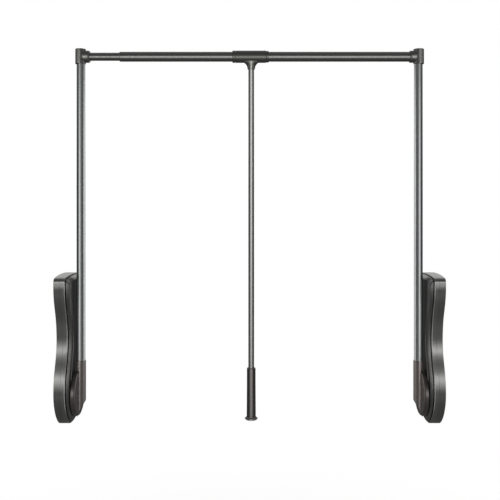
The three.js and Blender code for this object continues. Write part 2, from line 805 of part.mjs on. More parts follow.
function grip() {
  const bore_bottom = grip_top - grip_overlap - gap;
  return cut(
    turned("z", [
      [0, grip_bottom], [grip_bottom_radius, grip_bottom],
      [grip_top_radius, grip_top - grip_chamfer],
      [grip_top_radius - grip_chamfer, grip_top], [0, grip_top],
    ], { x: rod_axis }),
    cylinder("z", rod_radius + gap, bore_bottom, grip_top + overrun, { x: rod_axis }),
    cylinder("z", grip_bottom_radius / 2 + gap, grip_bottom - overrun,
      grip_bottom + end_cap_plug + gap, { x: rod_axis }, small_faces),
  );
}

function gripEndCap() {
  const top = grip_bottom - gap;
  const edge = end_cap_edge_shares.map(([across, up]) => [
    across * end_cap_radius, end_cap_bottom + up * (top - end_cap_bottom),
  ]);
  return turned("z", [
    [0, end_cap_bottom], ...edge, [grip_bottom_radius / 2, top],
    [grip_bottom_radius / 2, grip_bottom + end_cap_plug], [0, grip_bottom + end_cap_plug],
  ], { x: rod_axis });
}

// Assembly

function named(name, solid, finish) {
  const mesh = new THREE.Mesh(geometryOf(solid), new THREE.MeshStandardMaterial(finish));
  mesh.name = name;
  return mesh;
}

const outer_bore = outer_rail_radius - outer_rail_wall;
const inner_bore = inner_rail_radius - inner_rail_wall;

function side(hand, direction, rail_radius, plug_bore) {
  const group = new THREE.Group();
  group.position.x = -direction * (wall_span / 2);
  group.scale.x = direction;
  const pieces = {
    wall_plate: [wallPlate(), steel],
    back_shell: [backShell(), charcoal],
    front_shell: [frontShell(), charcoal],
    inner_cover: [innerCover(), charcoal],
    upper_case_screw: [caseScrew(upper_post), steel],
    lower_case_screw: [caseScrew(lower_post), steel],
    top_bracket: [topBracket(), steel],
    damper_cylinder: [damperCylinder(), pale_plastic],
    pivot_shaft: [pivotShaft(), steel],
    pivot_bush: [pivotBush(), pale_plastic],
    rack: [rack(), steel],
    spring: [spring(), steel],
    damper_rod: [damperRod(), steel],
    drive_gear: [driveGear(), steel],
    arm_holder: [armHolder(), dark_holder],
    pivot_screw: [pivotScrew(), steel],
    arm_tube: [armTube(), satin_tube],
    arm_pin: [armPin(), steel],
    elbow: [elbow(rail_radius), dark_fitting],
    elbow_cap: [elbowCap(), dark_fitting],
    elbow_screw: [elbowScrew(), steel],
    rail_plug: [railPlug(plug_bore), pale_plastic],
  };
  for (const [name, [solid, finish]] of Object.entries(pieces)) {
    group.add(named(`${hand}_${name}`, solid, finish));
  }
  return group;
}

const closetRod = new THREE.Group();
closetRod.add(side("left", 1, inner_rail_radius, inner_bore));
closetRod.add(side("right", -1, outer_rail_radius, outer_bore));

closetRod.add(
  named("inner_rail", innerRail(), dark_rail),
  named("inner_rail_glide", innerRailGlide(), pale_plastic),
  named("outer_rail", outerRail(), dark_rail),
  named("outer_rail_bush", mouthBush(), dark_fitting),
  named("left_clamp_ring", clampRing(connector_radius, connector_left,
    connector_left + left_ring_length), dark_fitting),
  named("right_clamp_ring", clampRing(right_ring_radius,
    connector_right - right_ring_length, connector_right), dark_fitting),
  named("rod_connector", connector(), dark_fitting),
  named("connector_screw", stemScrew(), steel),
  named("pull_rod", pullRod(), satin_tube),
  named("grip", grip(), grip_finish),
  named("grip_end_cap", gripEndCap(), grip_finish),
);

export default closetRod;
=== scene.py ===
"""Pull down closet rod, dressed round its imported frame: cases, arms, telescopic rail, pull rod and grip.
Lengths are metres in the frame's own axes: X along the rail, -Y the open front, Z up."""

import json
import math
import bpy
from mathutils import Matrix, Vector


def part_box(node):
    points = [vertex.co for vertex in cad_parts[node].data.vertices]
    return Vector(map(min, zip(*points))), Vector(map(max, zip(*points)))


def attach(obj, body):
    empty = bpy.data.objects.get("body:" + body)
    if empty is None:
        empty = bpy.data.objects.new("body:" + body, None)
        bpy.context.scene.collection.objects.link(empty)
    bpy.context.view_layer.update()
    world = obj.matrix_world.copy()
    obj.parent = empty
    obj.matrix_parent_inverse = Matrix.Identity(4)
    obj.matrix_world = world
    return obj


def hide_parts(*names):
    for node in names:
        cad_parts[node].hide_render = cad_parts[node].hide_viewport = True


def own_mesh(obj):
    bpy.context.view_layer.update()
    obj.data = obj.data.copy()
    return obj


bl_info = {
    "name": "Pull Down Closet Rod",
    "version": (1, 0, 0),
    "blender": (4, 5, 0),
    "location": "View3D > Sidebar > Closet Rod",
    "description": "Builds the visible pieces of a pull down closet rod on its frame",
    "category": "Add Mesh",
}

import bpy
import numpy as np
from bpy.props import FloatProperty, FloatVectorProperty, IntProperty, PointerProperty

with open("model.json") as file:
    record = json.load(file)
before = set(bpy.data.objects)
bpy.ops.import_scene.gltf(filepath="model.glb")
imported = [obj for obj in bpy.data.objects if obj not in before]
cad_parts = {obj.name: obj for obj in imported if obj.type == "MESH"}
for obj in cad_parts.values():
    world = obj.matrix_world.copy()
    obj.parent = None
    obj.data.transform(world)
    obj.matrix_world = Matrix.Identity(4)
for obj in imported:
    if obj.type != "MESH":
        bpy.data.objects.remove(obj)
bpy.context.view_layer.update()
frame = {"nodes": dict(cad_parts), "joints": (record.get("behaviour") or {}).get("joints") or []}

HANDS = (("left", -1), ("right", 1))  # the side's name and which way its wall lies along X
FACES_ROUND = 72  # faces round a tube or a turned piece
FINE = 0.0003  # clearance between pieces that touch, and radius of the finest edges
SHARP = 40  # degrees: sharper edges stay hard in smooth shading


def low(node, axis):
    """The lowest coordinate of a frame node along an axis, 0 to 2."""
    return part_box(node)[0][axis]


def high(node, axis):
    """The highest coordinate of a frame node along an axis, 0 to 2."""
    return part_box(node)[1][axis]


def middle(node, axis):
    """Halfway between the two."""
    return (low(node, axis) + high(node, axis)) / 2


def half(node, axis):
    """Half the distance between the two."""
    return (high(node, axis) - low(node, axis)) / 2


def sides(node):
    """How far a node's inner and outer side lie from the object's middle plane."""
    return sorted([abs(low(node, 0)), abs(high(node, 0))])


# Sizes and colours


def length(name, description, default, **more):
    """A size in metres."""
    return FloatProperty(
        name=name, description=description, default=default, min=0, unit="LENGTH", precision=4, **more
    )


def colour(name, description, default):
    """A colour, as red, green and blue from 0 to 1."""
    return FloatVectorProperty(
        name=name, description=description, default=default, size=3, min=0, max=1, subtype="COLOR"
    )


class CaseSizes(bpy.types.PropertyGroup):
    """The spring cases on the walls"""

    height: length("Case Height", "Bottom to top of a case", 0.327)
    half_depth: length("Half Depth", "Middle plane to the front of the widest lobe", 0.064)
    wall: length("Wall", "Thickness of the shells", 0.0025)
    inner_round: length("Inner Edge", "Radius of the front shell's inner edge", 0.0024)
    seam_round: length("Seam Edge", "Radius of the edges at the parting line", 0.0003)
    cover_inset: length("Cover Inset", "From the case outline in to the inner cover", 0.0034)
    cover_gap: length("Cover Gap", "Height of the shadow gap under the cover", 0.0014)
    cover_wall: length("Cover Side", "Front shell to the top of the cover's side", 0.0020)
    cover_round: length("Cover Edge", "Radius of the cover's edge", 0.0006)
    cover_slant: length("Cover Slant", "How far in the slanting edge of the cover reaches", 0.0068)
    cover_corner: length("Cover Corner", "How far the cover's corners are softened", 0.0018)
    bead_inset: length("Bead Inset", "From the case outline in to the bead on the cover", 0.0265)
    bead_radius: length("Bead", "Half the width of the bead on the cover", 0.0018)
    softness: length("Outline Softness", "Width over which the outline's curves are evened", 0.0045)
    points: IntProperty(name="Outline Points", description="Points round a case", default=360, min=60)


class ArmSizes(bpy.types.PropertyGroup):
    """The arm holders, arms and elbows"""

    hub_round: length("Hub Edge", "Radius of the hub's rim", 0.003)
    lip_round: length("Lip Edge", "Radius of the socket's mouth", 0.0009)
    tube_wall: length("Tube Wall", "Wall of the arm tube", 0.0014)
    elbow_round: length("Elbow Edge", "Radius of the elbow's ends", 0.0018)
    turns: IntProperty(name="Faces Round", description="Faces round a tube", default=FACES_ROUND, min=12)


class RailSizes(bpy.types.PropertyGroup):
    """The telescopic rail and the connector on it"""

    inner_wall: length("Inner Wall", "Wall of the thin tube", 0.0012)
    outer_wall: length("Outer Wall", "Wall of the thick tube", 0.0009)
    ring_round: length("Ring Edge", "Radius of the clamp rings' edges", 0.0008)
    stem_flat: length("Stem Half Depth", "Middle plane to the flat face of the stem", 0.0115)
    stem_bottom: length("Stem Bottom", "Rail axis down to the end of the stem", 0.0282)


class RodSizes(bpy.types.PropertyGroup):
    """The pull rod, its grip and the springs"""

    rod_wall: length("Rod Wall", "Wall of the pull rod", 0.0012)
    grip_round: length("Grip Edge", "Radius of the grip's top edge", 0.0013)
    wire: length("Spring Wire", "Half the thickness of the spring wire", 0.0012)
    coil: length("Spring Coil", "Spring axis to the middle of the wire", 0.0062)
    coils: IntProperty(name="Spring Turns", description="Turns of each spring", default=14, min=3)


class FinishColours(bpy.types.PropertyGroup):
    """Colours of the finishes"""

    case: colour("Cases", "Satin gunmetal plastic", (0.150, 0.149, 0.145))
    holder: colour("Holders", "Brown black plastic", (0.112, 0.100, 0.095))
    arm: colour("Arms", "Satin plated tube", (0.38, 0.39, 0.39))
    rail: colour("Rails", "Dark plated tube", (0.178, 0.182, 0.175))
    rod: colour("Pull Rod", "Satin plated rod", (0.36, 0.36, 0.355))
    fitting: colour("Fittings", "Olive black paint on cast metal", (0.105, 0.107, 0.098))
    grip: colour("Grip", "Brown black grip", (0.122, 0.115, 0.110))
    zinc: colour("Zinc", "Zinc plated steel", (0.52, 0.54, 0.56))
    nylon: colour("Nylon", "Natural nylon", (0.62, 0.60, 0.55))


class StudioSizes(bpy.types.PropertyGroup):
    """Camera, lamps and floor"""

    distance: length("Camera Distance", "Camera to the middle plane", 1.531)
    eye: length("Camera Height", "Height of the level camera", 0.495)
    floor_drop: length("Floor Drop", "Floor below the cases", 0.9)


# Shapes


def frame_axes(axis):
    """Unit vectors: along the axis, then the two that span the turn round it."""
    along = np.eye(3)["xyz".index(axis)]
    first = np.eye(3)[1] if axis == "x" else np.eye(3)[0]
    return along, first, np.cross(along, first)


def rounded(corners, steps=5):
    """A closed or open polyline of (radius, along, edge radius) rows with its corners made arcs.
    Each arc of radius e lies between its tangent points, e / tan(half the inner angle) from the corner, and a
    point a little outside each tangent keeps the flats flat in smooth shading."""
    rows = np.asarray(corners, float)
    out = []
    for i, (x, y, edge) in enumerate(rows):
        corner = np.array([x, y])
        if edge <= 0 or i in (0, len(rows) - 1):
            out.append(corner[None])
            continue
        back, on = rows[i - 1, :2] - corner, rows[i + 1, :2] - corner
        u, v = back / np.linalg.norm(back), on / np.linalg.norm(on)
        opening = math.acos(float(np.clip(u @ v, -1, 1)))
        reach = edge / math.tan(opening / 2)
        centre = corner + (u + v) / np.linalg.norm(u + v) * edge / math.sin(opening / 2)
        start, sweep = corner + u * reach - centre, math.pi - opening
        end = corner + v * reach - centre
        share = np.linspace(0, 1, steps + 1)[:, None]
        arc = (np.sin((1 - share) * sweep) * start + np.sin(share * sweep) * end) / math.sin(sweep)
        hold = edge * 0.12
        out += [(corner + u * (reach + hold))[None], centre + arc, (corner + v * (reach + hold))[None]]
    return np.vstack(out)


def ring_profile(corners, steps=5):
    """The same for a profile that closes on itself: it is started in the middle of its first edge."""
    rows = np.asarray(corners, float)
    start = (rows[0] + rows[1]) / 2 * [1, 1, 0]
    return rounded(np.vstack([start, rows[1:], rows[:1], start]), steps)[:-1]


def skin(rings, closed):
    """Vertices and faces of a grid of rings. Closed: the last ring meets the first. Otherwise each end is shut
    by a fan to the middle of its ring. Faces are turned outwards by the sign of the volume they hold."""
    rings = np.asarray(rings, float)
    rows, columns = rings.shape[:2]
    index = np.arange(rows * columns).reshape(rows, columns)
    across = np.roll(index, -1, 1)
    up, across_up = np.roll(index, -1, 0), np.roll(across, -1, 0)
    quads = np.stack([index, across, across_up, up], -1)
    points = rings.reshape(-1, 3)
    if closed:
        fans = np.empty((0, 3), int)
    else:
        quads = quads[:-1]
        ends = rings[[0, -1]].mean(1)
        pole = rows * columns
        first = np.stack([across[0], index[0], np.full(columns, pole)], -1)
        last = np.stack([index[-1], across[-1], np.full(columns, pole + 1)], -1)
        fans = np.vstack([first, last])
        points = np.vstack([points, ends])
    quads = quads.reshape(-1, 4)
    triangles = np.vstack([quads[:, :3], quads[:, [0, 2, 3]], fans])
    a, b, c = (points[triangles[:, k]] - points.mean(0) for k in range(3))
    if np.einsum("ij,ij->i", a, np.cross(b, c)).sum() < 0:
        quads, fans = quads[:, ::-1], fans[:, ::-1]
    return points, [quads, fans]


def turned(axis, centre, profile, turns=FACES_ROUND, closed=False, shape=None):
    """A profile of (radius, along) rows turned round an axis:
    point = centre + along * axis + radius * (cos a, sin a).
    A profile that starts and ends on the axis is shut by poles. Shape gives a factor of the radius for each
    angle."""
    along, first, second = frame_axes(axis)
    rows = np.asarray(profile, float)[:, :2]
    angle = np.linspace(0, 2 * np.pi, turns, endpoint=False)
    factor = np.ones((len(rows), turns)) if shape is None else shape(angle, rows)
    if not closed:
        inside = rows[:, 0] > 0
        rows, factor = rows[inside], factor[inside]
    circle = np.cos(angle)[:, None] * first + np.sin(angle)[:, None] * second
    rings = (
        np.asarray(centre, float)
        + rows[:, 1, None, None] * along
        + (rows[:, 0, None] * factor)[..., None] * circle
    )
    return skin(rings, closed)


def bar(axis, centre, radius, start, end, edge, turns):
    """A solid round bar with rounded ends."""
    profile = rounded([(0, start, 0), (radius, start, edge), (radius, end, edge), (0, end, 0)])
    return turned(axis, centre, profile, turns)


def pipe(axis, centre, radius, bore, start, end, turns=FACES_ROUND):
    """An open tube: a closed rectangle of wall turned round the axis."""
    corners = [(radius, start, FINE), (radius, end, FINE), (bore, end, FINE), (bore, start, FINE)]
    return turned(axis, centre, ring_profile(corners, 3), turns, closed=True)


def piece(name, body, replaced, kind, *shells):
    """Joins shells into one object at the origin, smooth but for its sharp edges. It rides on a body, hides the
    frame nodes that it replaces and has the finish of its kind in its one material slot."""
    vertices = np.vstack([v for v, _ in shells])
    offsets = np.cumsum([0] + [len(v) for v, _ in shells])
    faces = [row for (_, groups), o in zip(shells, offsets) for g in groups for row in (g + o).tolist()]
    mesh = bpy.data.meshes.new(name)
    mesh.from_pydata(vertices.tolist(), [], faces)
    mesh.validate()
    mesh.shade_smooth()
    mesh.set_sharp_from_angle(angle=math.radians(SHARP))
    mesh.materials.append(finish_for(kind))
    made = bpy.data.objects.new(name, mesh)
    bpy.context.scene.collection.objects.link(made)
    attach(made, body)
    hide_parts(*replaced)
    return made


# Case outline

OUTLINE_ROWS = np.array(
    [
        [0, 0.13], [0.006, 0.24], [0.022, 0.39], [0.049, 0.56], [0.088, 0.735], [0.129, 0.862], [0.165, 0.94],
        [0.2, 0.985], [0.235, 1], [0.292, 0.98], [0.35, 0.92], [0.405, 0.822], [0.45, 0.728], [0.508, 0.64],
        [0.57, 0.607], [0.64, 0.63], [0.715, 0.705], [0.79, 0.845], [0.85, 0.948], [0.91, 1], [0.95, 1],
        [0.974, 0.985], [0.985, 0.93], [0.991, 0.8], [0.997, 0.5], [1, 0.18],
    ]
)  # share of the height, share of the half depth
CURVE_STEPS = 24  # points on each stretch of the curve through them
TIGHT_FROM = 0.90  # share of the height above which the outline is evened less
TIGHT_OVER = 0.05  # and the share over which that comes in


def even_loop(loop, count):
    """A closed loop with points at equal steps of its length, from the one below its middle."""
    low_middle = np.where(loop[:, 1] < loop[:, 1].mean(), np.abs(loop[:, 0]), np.inf)
    loop = np.roll(loop, -int(np.argmin(low_middle)), 0)
    ring = np.vstack([loop, loop[:1]])
    way = np.concatenate([[0], np.cumsum(np.linalg.norm(np.diff(ring, axis=0), axis=1))])
    wanted = np.linspace(0, way[-1], count, endpoint=False)
    return np.stack([np.interp(wanted, way, ring[:, k]) for k in (0, 1)], 1)


def softened(loop, width):
    """The loop under a Gaussian of the given width along its length, worked out on its Fourier series."""
    step = np.linalg.norm(np.roll(loop, -1, 0) - loop, axis=1).mean()
    wave = np.fft.fftfreq(len(loop), step)
    fade = np.exp(-2 * (np.pi * wave * width) ** 2)[:, None]
    return np.real(np.fft.ifft(np.fft.fft(loop, axis=0) * fade, axis=0))


def inwards(loop):
    """Unit vectors that point into a loop that runs anticlockwise."""
    along = np.roll(loop, -1, 0) - np.roll(loop, 1, 0)
    along /= np.linalg.norm(along, axis=1)[:, None]
    return np.stack([-along[:, 1], along[:, 0]], 1)


def case_outline(sizes, count=1440):
    """The case outline as (y, z): a closed centripetal Catmull-Rom curve through the rows and their mirror. Its
    knots are spaced by the square root of their distance. It is then evened, but less so at the tight corners
    on top."""
    right = OUTLINE_ROWS[:, ::-1] * [sizes.half_depth, sizes.height]
    knots = np.vstack([right, right[::-1] * [-1, 1]])
    p0, p1, p2, p3 = (np.roll(knots, k, 0) for k in (1, 0, -1, -2))
    d0, d1, d2 = (np.sqrt(np.linalg.norm(b - a, axis=1))[:, None] for a, b in ((p0, p1), (p1, p2), (p2, p3)))
    t1 = ((p1 - p0) / d0 - (p2 - p0) / (d0 + d1) + (p2 - p1) / d1) * d1
    t2 = ((p2 - p1) / d1 - (p3 - p1) / (d1 + d2) + (p3 - p2) / d2) * d1
    t = np.linspace(0, 1, CURVE_STEPS, endpoint=False)[:, None, None]
    curve = p1 + t * t1 + t**2 * (-3 * p1 + 3 * p2 - 2 * t1 - t2) + t**3 * (2 * p1 - 2 * p2 + t1 + t2)
    loop = even_loop(curve.transpose(1, 0, 2).reshape(-1, 2), count)
    corner = np.clip((loop[:, 1] / sizes.height - TIGHT_FROM) / TIGHT_OVER, 0, 1)[:, None]
    soft, tight = softened(loop, sizes.softness), softened(loop, sizes.softness / 6)
    return even_loop(soft * (1 - corner) + tight * corner, count)


def inset_loop(outline, inset, corner, count):
    """The outline moved inwards. A moved point is kept only where it is still that far from the whole outline,
    but for what every fourth point of it may miss, and the corners this leaves are softened."""
    moved = outline + inwards(outline) * inset
    coarse, enough = outline[::4], 0.996
    gaps = np.sqrt(((moved[:, None, :] - coarse[None]) ** 2).sum(-1)).min(1)
    return softened(even_loop(moved[gaps >= inset * enough], count), corner)


def wall_face():
    """The X of the wardrobe's right wall."""
    return high("right_wall_plate", 0)


def stack(way, profile, loop):
    """Rings of one case piece: each row (inset, depth) of a profile moves the loop inwards and sets it at that
    depth from the wall."""
    inset, depth = profile[:, 0, None, None], profile[:, 1, None]
    flat = loop + inwards(loop) * inset
    x = np.broadcast_to(way * (wall_face() - depth), flat.shape[:2])
    return np.concatenate([x[..., None], flat], -1)


def at_x(x, loop):
    """A (y, z) loop set at one X."""
    return np.concatenate([np.full((len(loop), 1), x), loop], 1)


# Materials


class Channel:
    """A value socket that Python's operators work on: each adds a Math node."""

    def __init__(self, finish, socket):
        self.finish, self.socket = finish, socket

    def maths(self, operation, first, second):
        return self.finish.add("ShaderNodeMath", {"operation": operation}, {0: first, 1: second}).out(0)

    def __add__(self, other):
        return self.maths("ADD", self, other)

    __radd__ = __add__

    def __sub__(self, other):
        return self.maths("SUBTRACT", self, other)

    def __rsub__(self, other):
        return self.maths("SUBTRACT", other, self)

    def __mul__(self, other):
        return self.maths("MULTIPLY", self, other)

    __rmul__ = __mul__


class Part:
    """A node with its outputs as channels."""

    def __init__(self, finish, node):
        self.finish, self.node = finish, node

    def out(self, key):
        return Channel(self.finish, self.node.outputs[key])


class Finish:
    """A node tree. One method adds a node of any type, sets it up, and fills or links its sockets."""

    def __init__(self, tree):
        self.tree = tree
        tree.nodes.clear()

    def add(self, kind, settings=None, inputs=None):
        node = self.tree.nodes.new(kind)
        for name, value in (settings or {}).items():
            setattr(node, name, value)
        for key, value in (inputs or {}).items():
            if isinstance(value, Channel):
                self.tree.links.new(value.socket, node.inputs[key])
            else:
                node.inputs[key].default_value = value
        return Part(self, node)

    def noise(self, size, stretch=(1, 1, 1)):
        """Soft noise on Object coordinates. Its features have a size in metres and are drawn out by stretch."""
        place = self.add("ShaderNodeTexCoord").out("Object")
        scale = [1 / size / s for s in stretch]
        scaled = self.add("ShaderNodeMapping", {"vector_type": "POINT"}, {"Vector": place, "Scale": scale})
        inputs = {"Vector": scaled.out("Vector"), "Scale": 1.0, "Detail": 3.0}
        return self.add("ShaderNodeTexNoise", {}, inputs).out("Fac")

    def blend(self, share, first, second):
        """A colour between two, through a Mix node."""
        node = self.add("ShaderNodeMix", {"data_type": "RGBA", "clamp_factor": True}, {0: share})
        node.node.inputs[6].default_value = (*first, 1)
        node.node.inputs[7].default_value = (*second, 1)
        return node.out(2)


PATCH = 0.045  # metres: the size of the patches over which a finish varies


def finish_of(name, tint, metallic, roughness, grain, depth, stretch=(1, 1, 1), spread=0.06, tone=0.10):
    """A moulded, painted or plated finish. Slow noise and fine noise of the grain's size, drawn out by stretch,
    shift the colour by tone and the roughness by spread. The fine noise is also the relief, of a given depth."""
    material = bpy.data.materials.new(name)
    material.use_nodes = True
    finish = Finish(material.node_tree)
    slow, fine = finish.noise(PATCH), finish.noise(grain, stretch)
    dark = tuple(c * (1 - tone) for c in tint)
    light = tuple(min(1.0, c * (1 + tone)) for c in tint)
    shade = finish.blend(slow * 0.65 + fine * 0.35, dark, light)
    rough = (slow - 0.5) * spread + (fine - 0.5) * spread + roughness
    relief = finish.add("ShaderNodeBump", {}, {"Height": fine, "Strength": 1.0, "Distance": depth})
    surface = {"Base Color": shade, "Metallic": metallic, "Roughness": rough, "Normal": relief.out("Normal")}
    shader = finish.add("ShaderNodeBsdfPrincipled", {}, surface)
    finish.add("ShaderNodeOutputMaterial", {}, {"Surface": shader.out("BSDF")})
    material.diffuse_color = (*tint, 1)
    return material


MADE = {}


def finish_for(kind):
    """The material of one finish, made the first time it is asked for. A recipe gives name, colour, metallic,
    roughness, size of the grain, depth of the relief and, where they differ, stretch, spread and tone."""
    colours = bpy.context.scene.closet_rod_finishes
    recipes = {
        "case": ("satin_gunmetal_case", colours.case, 0.88, 0.29, 0.0005, 0.000004),
        "holder": ("brown_black_holder", colours.holder, 0.80, 0.34, 0.0005, 0.000005),
        "fitting": ("olive_black_fitting", colours.fitting, 0.85, 0.34, 0.0006, 0.000005),
        "grip": ("brown_black_grip", colours.grip, 0.88, 0.34, 0.0004, 0.000005),
        "arm": ("satin_plated_arm", colours.arm, 1.0, 0.31, 0.0003, 0.000001, (1, 1, 40), 0.04, 0.05),
        "rod": ("satin_plated_rod", colours.rod, 1.0, 0.40, 0.0003, 0.000001, (1, 1, 40), 0.05, 0.05),
        "rail": ("dark_plated_rail", colours.rail, 1.0, 0.31, 0.0003, 0.000001, (40, 1, 1), 0.04, 0.05),
        "zinc": ("zinc_plated_steel", colours.zinc, 1.0, 0.38, 0.0012, 0.000006, (1, 1, 1), 0.12, 0.12),
        "spring": ("oiled_spring_wire", tuple(c * 0.7 for c in colours.zinc), 1.0, 0.32, 0.0006, 0.000004),
        "nylon": ("natural_nylon", colours.nylon, 0.0, 0.5, 0.0008, 0.00001),
    }
    if kind not in MADE:
        name, tint, *rest = recipes[kind]
        MADE[kind] = finish_of(name, tuple(tint), *rest)
    return MADE[kind]


# Operators


class CLOSETROD_OT_shells(bpy.types.Operator):
    """Both shells of each case: the evened outline carried in from the wall, a fine seam at the parting line
    and a rounded inner edge"""

    bl_idname = "closet_rod.shells"
    bl_label = "Case Shells"

    def execute(self, context):
        sizes = context.scene.closet_rod_case
        outline = case_outline(sizes)
        loop = even_loop(outline, sizes.points)
        lid = inset_loop(outline, sizes.cover_inset + sizes.wall, sizes.cover_corner, sizes.points)
        wall_x, wall, seam, parting = wall_face(), sizes.wall, sizes.seam_round, 0.0001
        for hand, way in HANDS:
            back, front, body = f"{hand}_back_shell", f"{hand}_front_shell", f"{hand}_case"
            depth, face = (wall_x - sides(node)[0] for node in (back, front))
            profile = ring_profile([(wall, depth, 0), (wall, 0, 0), (0, 0, seam), (0, depth, seam)])
            piece(f"{hand}_case_back_shell", body, [back], "case", skin(stack(way, profile, loop), True))
            # The front shell runs from the parting line over its inner edge to the hole under the cover.
            rows = [(wall, depth + parting, 0), (0, depth + parting, seam), (0, face, sizes.inner_round),
                    (wall * 2, face, 0)]
            lids = np.array([at_x(way * (wall_x - d), lid) for d in (face, face - wall)])
            under = stack(way, np.array([(wall * 2, face - wall), (wall, face - wall * 1.6)]), loop)
            rings = np.concatenate([stack(way, rounded(rows, 7), loop), lids, under])
            piece(f"{hand}_case_front_shell", body, [front], "case", skin(rings, True))
        return {"FINISHED"}


class CLOSETROD_OT_covers(bpy.types.Operator):
    """The raised cover on the inner face of each case, drawn from the outline moved inwards"""

    bl_idname = "closet_rod.covers"
    bl_label = "Inner Covers"

    def execute(self, context):
        sizes = context.scene.closet_rod_case
        outline = case_outline(sizes)
        brow_corner, bead_corner = 0.0025, 0.006
        loop = inset_loop(outline, sizes.cover_inset, sizes.cover_corner, sizes.points)
        brow = inset_loop(outline, sizes.cover_inset + sizes.cover_slant, brow_corner, sizes.points)
        # The bead follows the outline far in, and its upper part is drawn out towards the top.
        bead = inset_loop(outline, sizes.bead_inset, bead_corner, sizes.points)
        knee, peak = sizes.height * 0.78, sizes.height * 0.962
        above = np.clip(bead[:, 1] - knee, 0, None)
        bead[:, 1] += above * ((peak - knee) / (bead[:, 1].max() - knee) - 1)
        wall_x, wall, radius = wall_face(), sizes.wall, sizes.bead_radius
        turn = np.linspace(0, 2 * np.pi, 12, endpoint=False)
        for hand, way in HANDS:
            node = f"{hand}_inner_cover"
            start, top = (wall_x - reach for reach in sides(node)[::-1])
            # Over a low upright side the edge slants up to the brow, as rings between the two loops, share^0.9
            # of the way up at each share of the way in. The face then runs level to the bead.
            crown, ledge, face = start + sizes.cover_wall, start + sizes.cover_gap, top - radius * 0.38
            foot, inner_foot = 0.006, 0.007
            side = rounded([(foot * 1.5, top - wall, 0), (inner_foot, top - wall, 0), (inner_foot, start, 0),
                            (foot, start, 0), (foot, ledge, FINE), (0, ledge, FINE),
                            (0, crown, sizes.cover_round), (0.003, crown + 0.0020, 0)], 6)[:-1]
            rings = stack(way, side, loop)
            face_x = way * (wall_x - face)
            high_edge, rim, low_edge = at_x(face_x, brow), at_x(face_x, bead), rings[-1]
            share = np.array([0.15, 0.3, 0.45, 0.6, 0.75, 0.9, 1])[:, None, None]
            slant = low_edge + (high_edge - low_edge) * share
            slant[..., 0] = low_edge[..., 0] + (high_edge - low_edge)[..., 0] * share[..., 0] ** 0.9
            level = high_edge + (rim - high_edge) * np.array([0.04, 0.12, 0.5, 1])[:, None, None]
            # Both ends stop 0.4 of the way to the middle, where a fan shuts them.
            centre = np.array([face_x, 0, loop[:, 1].mean()])
            inner = rim + (centre - rim) * 0.4
            under = rings[0] + (centre - rings[0]) * [0, 0.4, 0.4]
            cover = skin(np.concatenate([under[None], rings, slant, level, inner[None]]), False)
            cord = np.stack([radius * np.cos(turn), top - radius * (1 - np.sin(turn))], 1)
            cord = skin(stack(way, cord, bead), True)
            piece(f"{hand}_case_cover", f"{hand}_case", [node], "case", cover, cord)
        return {"FINISHED"}


# The slant of the socket's foot: share across the socket from the hub, share up it.
SLANT_ROWS = np.array([[0.2, 0], [0.56, 0.161], [0.955, 0.277], [1, 0.3]])


